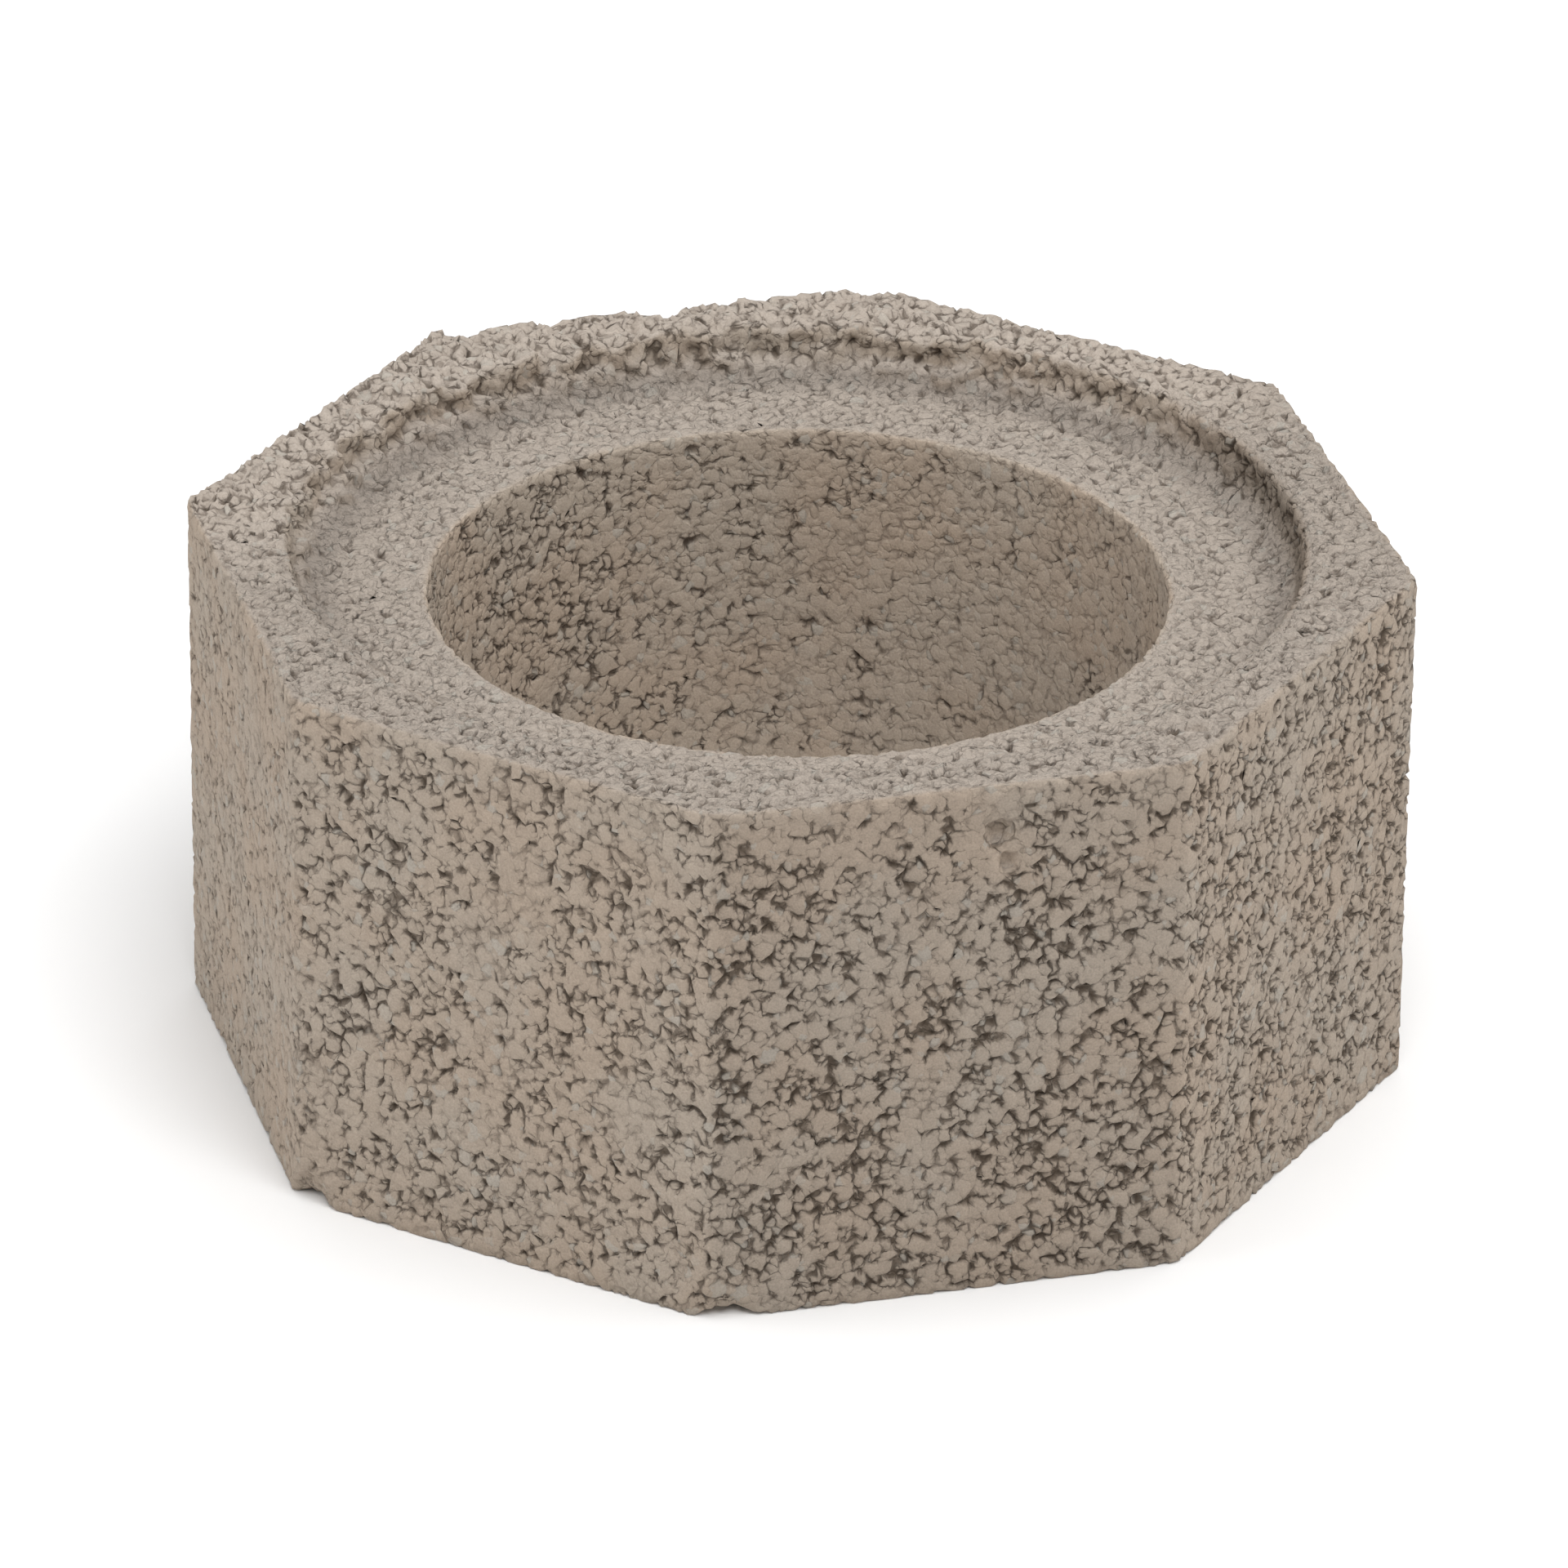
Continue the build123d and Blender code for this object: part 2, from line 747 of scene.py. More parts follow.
@dataclass(frozen=True)
class Stretch:
    """A stretch of the block round its axis: its middle and its half angles, in degrees."""

    middle: float
    outer: float
    inner: float

    def share(self, x: Signal, y: Signal, radial: Signal) -> Signal:
        """Tell how far a place lies in the stretch.

        Args:
            x: the place's x.
            y: the place's y.
            radial: its distance from the axis.

        Returns:
            1 within the inner half angle, easing to 0 at the outer one.
        """
        middle = math.radians(self.middle)
        cosine = (x * math.cos(middle) + y * math.sin(middle)) / radial
        low, high = (math.cos(math.radians(angle)) for angle in (self.outer, self.inner))
        return cosine.ramp(low, high)


@dataclass(frozen=True)
class SkinDepths:
    """How far the cement skin fills the pile of grains, in millimetres."""

    side: float = 0.78
    patch: float = 0.9
    side_unevenness: float = 0.8
    left_side: float = 1.1
    flue: float = 1.35
    rough_flue_loss: float = 0.9
    flue_unevenness: float = 2.3
    top: float = 1.45
    ledge_extra: float = 0.2
    base: float = 1.8
    patch_size: float = 24.0
    uneven_size: float = 8.0
    unevenness: float = 1.2
    worn: float = 0.25
    crumbly: float = 1.7
    foot_extra: float = 0.5
    edge_extra: float = 0.9


@dataclass(frozen=True)
class Openness:
    """How bare, loose and lumpy the parts of the block are, and how much painted shade their
    crevices and the gaps between crumbs take, as shares.
    """

    skin_lost_in_chips: float = 0.9
    skin_lost_on_wall: float = 0.6
    loose_top: float = 0.7
    loose_ledge: float = 0.6
    # These lift the painted shade of the crevices on chips and on top faces, in millimetres, and
    # deepen it in the gaps between crumbs.
    bare_chips: float = 0.7
    bare_top: float = 0.95
    dark_gaps: float = 0.75
    smooth_ledge: float = 0.3
    smooth_crumbs: float = 0.85


@dataclass(frozen=True)
class Tones:
    """How much painted light and painted shade the parts of the block take on their colour, as
    shares.
    """

    # Painted light makes the flue, the ledge and the crumbs lighter; painted shade darkens the
    # front side, the foot of the socket's wall and the wall itself, less on the crumbs.
    pale_flue: float = 0.16
    pale_ledge: float = 0.05
    pale_crumbs: float = 0.16
    dark_front: float = 0.1
    dirty_foot: float = 0.3
    dirty_wall: float = 0.26
    clean_crumbs: float = 0.55


@dataclass(frozen=True)
class RimWear:
    """How deep the rim's edges have worn away, in millimetres."""

    crumbled: float = 2.3
    least_crumbled: float = 1.2
    unevenness: float = 3.0
    uneven_size: float = 9.0
    least_growth: float = 0.2
    outer_edge: float = 0.9
    outer_edge_size: float = 5.0
    softened_share: float = 0.25


@dataclass(frozen=True)
class SurfaceZones:
    """How hard each part of the surface was pressed, how much it has worn, and where light and
    shade are painted on its colour.

    Pairs of numbers are where a share starts and where it ends. Those of the walls, the
    ledge and the foot are in millimetres from the socket's radius, the ledge and the foot,
    and the others are parts of a normal of length 1 or of a noise from 0 to 1.
    """

    sizes: BlockSizes
    damage: Damage = Damage()
    skins: SkinDepths = SkinDepths()
    openness: Openness = Openness()
    tones: Tones = Tones()
    rim: RimWear = RimWear()
    crumbly: Stretch = Stretch(95, 88, 58)
    large_crumbs: Stretch = Stretch(108, 70, 28)
    worn_lip: Stretch = Stretch(108, 75, 35)
    rough_flue: Stretch = Stretch(165, 100, 50)
    level: Limits = (0.35, 0.85)
    leftward: Limits = (0.4, 1.0)
    # Which outer faces take painted shade as the front side.
    frontward: Limits = (0.93, 0.99)
    outer_wall: Limits = (4.0, 9.0)
    flue_wall: Limits = (-30.0, -20.0)
    socket_wall: Limits = (-4.0, -1.0)
    above_ledge: Limits = (0.3, 2.5)
    crumb_inset: Limits = (2.5, 5.0)
    softened: Limits = (5.0, 12.0)
    top_edge: Limits = (0.0, 4.0)
    chipped: Limits = (0.45, 0.7)
    patched: Limits = (0.5, 0.66)
    filled_foot: Limits = (2.0, 6.0)
    # The painted shade at the foot of the socket's wall, and the pit depths of the painted shade
    # between crumbs, in millimetres.
    dirty_foot: Limits = (5.0, 16.0)
    gap: Limits = (0.35, 1.7)

    def _mm(self, length: float) -> float:
        """Return a length of the block in millimetres."""
        return length * MM_PER_METRE

    def _past(self, start: float, limits: Limits) -> Limits:
        """Return limits that are counted from a start."""
        return start + limits[0], start + limits[1]

    def _radial(self, graph: Graph, place: Socket) -> Signal:
        """Return a place's distance from the axis."""
        x, y, _ = graph.parts(place)
        return (x * x + y * y).root().at_least(1.0)

    def _in_stretch(self, graph: Graph, place: Socket, stretch: Stretch) -> Signal:
        """Return how far a place lies in a stretch of the block, from 0 to 1."""
        x, y, _ = graph.parts(place)
        return stretch.share(x, y, self._radial(graph, place))

    def _masks(self, graph: Graph, place: Socket, normal: Socket) -> Masks:
        """Tell the parts of the block from one another.

        Args:
            graph: where the nodes go.
            place: the place in millimetres.
            normal: the form's normal there.

        Returns:
            The shares.
        """
        socket_radius = self._mm(self.sizes.socket_radius)
        ledge = self._mm(self.sizes.ledge_height)
        _, _, z = graph.parts(place)
        _, _, facing_z = graph.parts(normal)
        radial = self._radial(graph, place)
        upward = facing_z.ramp(*self.level)
        downward = (-facing_z).ramp(*self.level)
        wall = (1 - upward) * (1 - downward)
        outer_wall = radial.ramp(*self._past(socket_radius, self.outer_wall)) * wall
        flue_wall = radial.ramp(*self._past(socket_radius, self.flue_wall), 1.0, 0.0) * wall
        above_foot = z.ramp(*self._past(ledge, self.above_ledge))
        in_socket = radial.ramp(*self._past(socket_radius, self.socket_wall)) * above_foot
        in_socket = in_socket * (1 - outer_wall)
        crumbly = self._in_stretch(graph, place, self.crumbly) * in_socket
        least = self.rim.least_growth
        growth = self._in_stretch(graph, place, self.large_crumbs) * (1 - least) + least
        return Masks(upward, downward, outer_wall, flue_wall, in_socket, crumbly, growth)

    def crumbs(self, graph: Graph, place: Socket, normal: Socket) -> tuple[Signal, Signal]:
        """Tell where the cast skin has crumbled away.

        Args:
            graph: where the nodes go.
            place: the place in millimetres.
            normal: the plain form's normal there.

        Returns:
            How densely the crumbs lie and how large they are, each from 0 to 1.
        """
        masks = self._masks(graph, place, normal)
        inland = self._from_outside(graph, place).ramp(*self.crumb_inset)
        return masks.crumbly * inland, masks.growth

    def worn_depth(self, graph: Graph, place: Socket, normal: Socket) -> Signal:
        """Work out how much the form has lost since it was cast.

        Args:
            graph: where the nodes go.
            place: the place in millimetres.
            normal: the plain form's normal there.

        Returns:
            The depth in millimetres.
        """
        masks = self._masks(graph, place, normal)
        rim = self.rim
        _, _, z = graph.parts(place)
        uneven = (graph.cloudiness(place, rim.uneven_size) - 0.5) * rim.unevenness
        crumbled = masks.growth * (rim.crumbled + uneven) + rim.least_crumbled
        crumbled = crumbled.at_least(0.0) * masks.crumbly
        top_gap = self._mm(self.sizes.height) - z
        edge_noise = graph.cloudiness(place, rim.outer_edge_size, 2.0).ramp(*self.chipped)
        worn_edge = top_gap.ramp(*self.top_edge, 1.0, 0.0) * masks.outer_wall
        worn_edge = worn_edge * edge_noise * rim.outer_edge
        lost, _ = self.damage.lost(graph, place)
        return (crumbled + worn_edge).at_least(lost)

    def softness(self, graph: Graph, place: Socket) -> Signal:
        """Tell how much of its shape the socket's lip has lost, all of it at the back.

        Args:
            graph: where the nodes go.
            place: the place in millimetres.

        Returns:
            The share, from 0 to 1.
        """
        _, _, z = graph.parts(place)
        top_gap = self._mm(self.sizes.height) - z
        lip_gap = self._radial(graph, place) - self._mm(self.sizes.socket_radius)
        from_lip = (lip_gap * lip_gap + top_gap * top_gap).root()
        least = self.rim.softened_share
        worn = self._in_stretch(graph, place, self.worn_lip) * (1 - least) + least
        return from_lip.ramp(*self.softened, 1.0, 0.0) * worn

    def _from_outside(self, graph: Graph, place: Socket) -> Signal:
        """Tell how far inside the block's eight sides a place lies.

        Args:
            graph: where the nodes go.
            place: the place in millimetres.

        Returns:
            The distance in millimetres.
        """
        x, y, _ = graph.parts(place)
        across_corner = (abs(x) + abs(y)) * math.sqrt(0.5)
        return self._mm(self.sizes.flat_distance) - abs(x).at_least(abs(y)).at_least(across_corner)

    def _from_foot(self, graph: Graph, place: Socket) -> Signal:
        """Tell how far a place is from the corner between the socket's wall and the ledge.

        Args:
            graph: where the nodes go.
            place: the place in millimetres.

        Returns:
            The distance in millimetres.
        """
        _, _, z = graph.parts(place)
        above = z - self._mm(self.sizes.ledge_height)
        across = self._radial(graph, place) - self._mm(self.sizes.socket_radius)
        return (above * above + across * across).root()

    def read(
        self, graph: Graph, place: Socket, normal: Socket, pit: Signal, edge: Signal
    ) -> Surface:
        """Work out how the surface was pressed, and the light and shade painted on its colour.

        Args:
            graph: where the nodes go.
            place: the place in millimetres.
            normal: the worn form's normal there.
            pit: how far the surface lies below what is around it, in millimetres.
            edge: 1 on the form's edges, easing to 0 beside them.

        Returns:
            What the relief needs to know of the surface there, and the light and shade painted on
            its colour.
        """
        masks = self._masks(graph, place, normal)
        skins, openness, tones = self.skins, self.openness, self.tones
        upward = masks.upward
        facing_x, facing_y, _ = graph.parts(normal)
        left_side = (-facing_x).ramp(*self.leftward) * masks.outer_wall
        rough_flue = self._in_stretch(graph, place, self.rough_flue)
        patches = graph.cloudiness(place, skins.patch_size, 2.0).ramp(*self.patched)
        unevenness = graph.cloudiness(place, skins.uneven_size) - 0.5
        _, lost_share = self.damage.lost(graph, place)
        press = skins.side + patches * skins.patch + unevenness * skins.side_unevenness
        press = press + left_side * skins.left_side + self.damage.skin(graph, place)
        flue_press = skins.flue - rough_flue * skins.rough_flue_loss
        flue_press = flue_press + unevenness * skins.flue_unevenness
        press = press + masks.flue_wall * flue_press
        on_ledge = upward * (1 - masks.in_socket)
        uneven_skin = unevenness * skins.unevenness
        top_press = skins.top + uneven_skin + on_ledge * skins.ledge_extra
        press = press * (1 - upward) + top_press * upward
        press = press * (1 - masks.downward) + (skins.base + uneven_skin) * masks.downward
        # The socket's wall loses skin, and further down it is also painted darker as painted
        # shade.
        worn_and_shaded_wall = masks.in_socket * (1 - upward)
        held = 1 - lost_share * openness.skin_lost_in_chips
        held = held * (1 - worn_and_shaded_wall * openness.skin_lost_on_wall)
        press = press * held + (1 - held) * skins.worn
        press = press * (1 - masks.crumbly) + skins.crumbly * masks.crumbly
        from_foot = self._from_foot(graph, place)
        press = press + from_foot.ramp(*self.filled_foot, skins.foot_extra, 0.0)
        press = press + edge * (1 - masks.crumbly) * skins.edge_extra
        coarse_sink = upward * openness.loose_top + on_ledge * openness.loose_ledge
        coarse_sink = coarse_sink * (1 - masks.crumbly) + masks.crumbly
        # Painted shade in the gaps between crumbs, and the painted shade of the crevices lifted on
        # chips and top faces.
        shaded_gaps = pit.ramp(*self.gap) * masks.crumbly
        bare_top = upward * (1 - masks.crumbly) * openness.bare_top
        bare = lost_share * openness.bare_chips + bare_top - shaded_gaps * openness.dark_gaps
        rough = upward * (1 - on_ledge * openness.smooth_ledge)
        rough = rough * (1 - masks.crumbly * openness.smooth_crumbs)
        # Painted light and shade on the colour: a lighter flue, ledge and crumbs, and a darker
        # front side, socket wall and foot.
        front = (-facing_y).ramp(*self.frontward) * masks.outer_wall
        pale = masks.flue_wall * tones.pale_flue + on_ledge * tones.pale_ledge
        pale = pale - front * tones.dark_front
        pale = pale + masks.crumbly * (1 - shaded_gaps) * tones.pale_crumbs
        painted_foot_shade = from_foot.ramp(*self.dirty_foot, tones.dirty_foot, 0.0)
        painted_shade = painted_foot_shade + worn_and_shaded_wall * tones.dirty_wall
        painted_shade = painted_shade * (1 - masks.crumbly * tones.clean_crumbs)
        return Surface(press, coarse_sink, bare, 1 + pale - painted_shade, rough)


class FormCutter:
    """A Geometry Nodes group that moves the points of one mesh."""

    least_length: float = 0.6

    def __init__(self, name: str) -> None:
        """Start the group.

        Args:
            name: the group's name.
        """
        self.group = bpy.data.node_groups.new(name, "GeometryNodeTree")
        for direction in ("INPUT", "OUTPUT"):
            self.group.interface.new_socket(
                "Geometry", in_out=direction, socket_type="NodeSocketGeometry"
            )
        self.graph = Graph(self.group)
        self.mesh = self.graph.node("NodeGroupInput").outputs[0]
        self.position = self.graph.node("GeometryNodeInputPosition").outputs[0]
        self.place = self.graph.vector("SCALE", {0: self.position, "Scale": MM_PER_METRE})

    def soft_normal(self, iterations: int) -> tuple[Socket, Signal]:
        """Smooth the normals over the neighbouring points.

        Args:
            iterations: how often they are smoothed.

        Returns:
            The smoothed normal, and its length before it was made 1 again, which is
            smaller at an edge.
        """
        raw_normal = self.graph.node("GeometryNodeInputNormal").outputs[0]
        blurred = self.graph.node(
            "GeometryNodeBlurAttribute",
            {"data_type": "FLOAT_VECTOR"},
            {"Value": raw_normal, "Iterations": iterations},
        ).outputs[0]
        measured = self.graph.node("ShaderNodeVectorMath", {"operation": "LENGTH"}, {0: blurred})
        normal = self.graph.vector("NORMALIZE", {0: blurred})
        return normal, self.graph.signal(measured, "Value")

    def smoothed(self, iterations: int, weight: Number = 1.0) -> Socket:
        """Smooth the points' positions over the neighbouring points.

        Args:
            iterations: how often they are smoothed.
            weight: how much each point takes part, from 0 to 1.

        Returns:
            The smoothed positions.
        """
        return self.graph.node(
            "GeometryNodeBlurAttribute",
            {"data_type": "FLOAT_VECTOR"},
            {"Value": self.position, "Iterations": iterations, "Weight": weight},
        ).outputs[0]

    def pit(self, normal: Socket, iterations: int) -> Signal:
        """Tell how far the surface lies below what is around it.

        Args:
            normal: the outward direction.
            iterations: how far around it reaches.

        Returns:
            The depth in millimetres.
        """
        gap = self.graph.vector("SUBTRACT", {0: self.smoothed(iterations), 1: self.position})
        made = self.graph.node(
            "ShaderNodeVectorMath", {"operation": "DOT_PRODUCT"}, {0: gap, 1: normal}
        )
        return self.graph.signal(made, "Value") * MM_PER_METRE

    def store(self, attribute: CastAttribute, source: Socket | Signal) -> None:
        """Store an attribute on the mesh's points."""
        kind = "FLOAT" if isinstance(source, Signal) else "FLOAT_VECTOR"
        self.mesh = self.graph.node(
            "GeometryNodeStoreNamedAttribute",
            {"data_type": kind, "domain": "POINT"},
            {"Geometry": self.mesh, "Name": attribute.value, "Value": source},
        ).outputs[0]

    def cut(self, depth: Signal, direction: Socket, length: Signal) -> None:
        """Move the points inwards, further at an edge.

        Args:
            depth: how deep the cut is, in millimetres.
            direction: the outward direction, smoothed so that an edge doesn't fold.
            length: how long that direction was before it was made 1 again.
        """
        offset = depth * -METRES_PER_MM / length.at_least(self.least_length)
        inwards = self.graph.vector("SCALE", {0: direction, "Scale": offset})
        self.move_to(self.graph.vector("ADD", {0: self.position, 1: inwards}))

    def move_to(self, position: Socket) -> None:
        """Put the points at a position."""
        self.mesh = self.graph.node(
            "GeometryNodeSetPosition", inputs={"Geometry": self.mesh, "Position": position}
        ).outputs[0]

    def finished(self) -> bpy.types.NodeTree:
        """End the group and return it."""
        self.graph.node("NodeGroupOutput", inputs={0: self.mesh})
        return self.group


@dataclass(frozen=True)
class LooseCrumbs:
    """Crumbs that stand out where the cast skin has crumbled away, in millimetres."""

    spacing: float = 3.7
    least_radius: float = 1.7
    spread: float = 3.6
    sunk: float = 0.25
    lump_size: float = 3.8
    lump_reach: float = 0.9
    per_square_metre: float = 160_000.0
    seed: int = 11

    def scatter(self, cutter: FormCutter, share: Signal, growth: Signal) -> None:
        """Add the crumbs to a cutter's mesh, each one a lumpy closed ball.

        Args:
            cutter: the group whose mesh they are added to.
            share: how densely they lie, from 0 to 1.
            growth: how large the largest of them are, from 0 to 1.
        """
        graph = cutter.graph
        points = graph.node(
            "GeometryNodeDistributePointsOnFaces",
            {"distribute_method": "POISSON"},
            {
                "Mesh": cutter.mesh,
                "Distance Min": self.spacing * METRES_PER_MM,
                "Density Max": self.per_square_metre,
                "Density Factor": share,
                "Seed": self.seed,
            },
        )
        drawn = graph.node(
            "FunctionNodeRandomValue", {"data_type": "FLOAT"}, {"Seed": self.seed}
        )
        chance = graph.signal(drawn, 1)
        radius = (chance * chance * growth * self.spread + self.least_radius) * METRES_PER_MM
        inwards = graph.vector(
            "SCALE", {0: points.outputs["Normal"], "Scale": radius * -self.sunk}
        )
        sunken = graph.node(
            "GeometryNodeSetPosition",
            inputs={"Geometry": points.outputs["Points"], "Offset": inwards},
        )
        ball = graph.node("GeometryNodeMeshIcoSphere", inputs={"Radius": 1.0, "Subdivisions": 2})
        placed = graph.node(
            "GeometryNodeInstanceOnPoints",
            inputs={"Points": sunken.outputs[0], "Instance": ball.outputs[0], "Scale": radius},
        )
        balls = graph.node("GeometryNodeRealizeInstances", inputs={0: placed.outputs[0]})
        lumpy = graph.shaken(cutter.place, self.lump_size, self.lump_reach, 1.0)
        crumbs = graph.node(
            "GeometryNodeSetPosition",
            inputs={
                "Geometry": balls.outputs[0],
                "Position": graph.vector("SCALE", {0: lumpy, "Scale": METRES_PER_MM}),
            },
        )
        cutter.mesh = graph.node(
            "GeometryNodeJoinGeometry", inputs={0: [cutter.mesh, crumbs.outputs[0]]}
        ).outputs[0]


@dataclass(frozen=True)
class BlockCuts:
    """The three groups that shape the finely remeshed form."""

    relief: Relief
    zones: SurfaceZones
    crumbs: LooseCrumbs = LooseCrumbs()
    shading_blur: int = 8
    cutting_blur: int = 24
    lip_blur: int = 60
    pit_blur: int = 16
    skinned_edge: Limits = (0.93, 0.995)
    calm_edge: Limits = (0.86, 0.995)

    def wear(self) -> bpy.types.NodeTree:
        """Build the group that chips and crumbles the form.

        Returns:
            The group.
        """
        cutter = FormCutter("wear_cut")
        graph, zones = cutter.graph, self.zones
        cutter.move_to(cutter.smoothed(self.lip_blur, zones.softness(graph, cutter.place)))
        normal, _ = cutter.soft_normal(self.shading_blur)
        worn_depth = zones.worn_depth(graph, cutter.place, normal)
        cutter.cut(worn_depth, *cutter.soft_normal(self.cutting_blur))
        share, growth = zones.crumbs(graph, cutter.place, normal)
        self.crumbs.scatter(cutter, share, growth)
        return cutter.finished()

    def grain_relief(self) -> bpy.types.NodeTree:
        """Build the group that cuts the grains' relief.

        Returns:
            The group, which also stores what the material reads.
        """
        cutter = FormCutter("grain_relief_cut")
        graph = cutter.graph
        normal, length = cutter.soft_normal(self.shading_blur)
        shaken = self.relief.grains.shaken(graph, cutter.place)
        pit = cutter.pit(normal, self.pit_blur)
        direction, soft_length = cutter.soft_normal(self.cutting_blur)
        edge = soft_length.ramp(*self.skinned_edge, 1.0, 0.0)
        surface = self.zones.read(graph, cutter.place, normal, pit, edge)
        cutter.store(CastAttribute.PLACE, cutter.place)
        cutter.store(CastAttribute.SHAKEN, shaken)
        cutter.store(CastAttribute.NORMAL, normal)
        for name, share in vars(surface).items():
            cutter.store(CastAttribute[name.upper()], share)
        cutter.store(CastAttribute.EDGE, length.ramp(*self.calm_edge, 1.0, 0.0))
        pile = self.relief.depth(
            graph, shaken, surface.press, surface.coarse_sink, surface.rough
        )
        cutter.cut(pile.depth, direction, soft_length)
        return cutter.finished()

    def limit(self) -> bpy.types.NodeTree:
        """Build the group that keeps every point within the CAD block's eight sides.

        Returns:
            The group.
        """
        cutter = FormCutter("limit")
        low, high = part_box(CAD_NODE)
        turn = 2 * HALF_TURN_OF_A_SIDE
        for angle in (turn, -turn):
            cutter.move_to(self._turned(cutter, angle))
            raised = cutter.graph.vector("MAXIMUM", {0: cutter.position, 1: tuple(low)})
            cutter.move_to(cutter.graph.vector("MINIMUM", {0: raised, 1: tuple(high)}))
        return cutter.finished()

    def _turned(self, cutter: FormCutter, angle: float) -> Socket:
        """Return the points' positions turned about the block's axis."""
        return cutter.graph.node(
            "ShaderNodeVectorRotate",
            {"rotation_type": "Z_AXIS"},
            {"Vector": cutter.position, "Angle": angle},
        ).outputs[0]


@dataclass(frozen=True)
class ConcreteFinish:
    """Dry, dull concrete: pale grains and skin, painted shade in the crevices, and faint stains.
    """

    relief: Relief
    pale: Colour = (0.358, 0.302, 0.246)
    dusty: Colour = (0.356, 0.309, 0.266)
    # Painted shade: the colour that the crevices and pores take, more of it the deeper they lie.
    crevice: Colour = (0.080, 0.058, 0.041)
    warm: Colour = (0.360, 0.291, 0.229)
    grey: Colour = (0.335, 0.312, 0.274)
    roughness: float = 0.92
    specular: float = 0.25
    dust_size: float = 0.55
    grit: float = 0.09
    edge_calm: float = 0.5
    stain_size: float = 38.0
    stained: Limits = (0.35, 0.65)
    dusty_slope: Limits = (0.3, 0.9)
    dust_cover: float = 0.9
    grey_lots: Limits = (0.92, 0.98)
    grey_cover: float = 0.6
    lot_contrast: float = 0.09
    dust_contrast: float = 0.6
    # How the painted shade of the crevices grows with their depth, in millimetres.
    shallow: Limits = (0.15, 1.3)
    shallow_darkness: float = 0.5
    deep: Limits = (0.7, 2.2)
    deep_darkness: float = 0.44

    def material(self) -> bpy.types.Material:
        """Build the material.

        Returns:
            The concrete's material.
        """
        made = bpy.data.materials.new("lightweight_concrete")
        made.use_nodes = True
        made.node_tree.nodes.clear()
        graph = Graph(made.node_tree)
        place = self._attribute(graph, CastAttribute.PLACE, "Vector")
        shaken = self._attribute(graph, CastAttribute.SHAKEN, "Vector")
        press = self._number(graph, CastAttribute.PRESS)
        coarse_sink = self._number(graph, CastAttribute.COARSE_SINK)
        rough = self._number(graph, CastAttribute.ROUGH)
        pile = self.relief.depth(graph, shaken, press, coarse_sink, rough)
        dust = graph.cloudiness(place, self.dust_size, 2.0) - 0.5
        colour = self._colour(graph, place, pile, dust)
        edge = self._number(graph, CastAttribute.EDGE)
        height = dust * (2 * self.grit) - pile.depth * (1 - edge * self.edge_calm)
        cast_normal = self._attribute(graph, CastAttribute.NORMAL, "Vector")
        mesh_normal = graph.node("ShaderNodeNewGeometry").outputs["Normal"]
        normal = graph.node(
            "ShaderNodeMix", {"data_type": "VECTOR"}, {0: edge, 4: cast_normal, 5: mesh_normal}
        ).outputs[1]
        rise = {"Strength": 1.0, "Distance": 1.0, "Height": height * METRES_PER_MM}
        bump = graph.node("ShaderNodeBump", inputs={**rise, "Normal": normal})
        shader = graph.node(
            "ShaderNodeBsdfPrincipled",
            inputs={
                "Base Color": colour,
                "Roughness": self.roughness,
                "Specular IOR Level": self.specular,
                "Normal": bump.outputs[0],
            },
        )
        graph.node("ShaderNodeOutputMaterial", inputs={"Surface": shader.outputs[0]})
        return made

    def _attribute(self, graph: Graph, attribute: CastAttribute, output: str) -> Socket:
        """Read one of the mesh's attributes."""
        return graph.node(
            "ShaderNodeAttribute",
            {"attribute_type": "GEOMETRY", "attribute_name": attribute.value},
        ).outputs[output]

    def _number(self, graph: Graph, attribute: CastAttribute) -> Signal:
        """Read one of the mesh's attributes that is a number."""
        return Signal(graph, self._attribute(graph, attribute, "Fac"))

    def _mix(self, graph: Graph, share: Number, first: Any, second: Any) -> Socket:
        """Mix two colours by a share of the second."""
        made = graph.node(
            "ShaderNodeMix", {"data_type": "RGBA"}, {0: share, 6: first, 7: second}
        )
        return made.outputs[2]

    def _colour(self, graph: Graph, place: Socket, pile: Pile, dust: Signal) -> Socket:
        """Work out the colour, with painted light and shade from the mesh and painted shade in the
        crevices.

        Args:
            graph: where the nodes go.
            place: the place in millimetres.
            pile: the relief there.
            dust: a fine noise about 0.

        Returns:
            The colour's socket.
        """
        stain = graph.cloudiness(place, self.stain_size, 2.0).ramp(*self.stained)
        base = self._mix(graph, stain, (*self.pale, 1.0), (*self.warm, 1.0))
        cast_normal = self._attribute(graph, CastAttribute.NORMAL, "Vector")
        _, _, facing_up = graph.parts(cast_normal)
        dust_cover = facing_up.ramp(*self.dusty_slope, 0.0, self.dust_cover)
        base = self._mix(graph, dust_cover, base, (*self.dusty, 1.0))
        greyness = pile.lot.ramp(*self.grey_lots) * self.grey_cover
        base = self._mix(graph, greyness, base, (*self.grey, 1.0))
        contrast = (pile.lot - 0.5) * self.lot_contrast
        shade = 1.0 + contrast + dust * self.dust_contrast
        # Painted light and shade from the mesh: a lighter flue, ledge and crumbs, and a darker
        # front side, socket wall and foot.
        shade = shade * self._number(graph, CastAttribute.SHADE)
        tinted = graph.vector("SCALE", {0: base, "Scale": shade})
        # Painted shade in the crevices, darker the deeper they lie.
        open_depth = pile.depth - self._number(graph, CastAttribute.BARE)
        painted_crevice_shade = open_depth.ramp(*self.shallow, 0.0, self.shallow_darkness)
        painted_crevice_shade = painted_crevice_shade + open_depth.ramp(*self.deep, 0.0, self.deep_darkness)
        return self._mix(graph, painted_crevice_shade, tinted, (*self.crevice, 1.0))


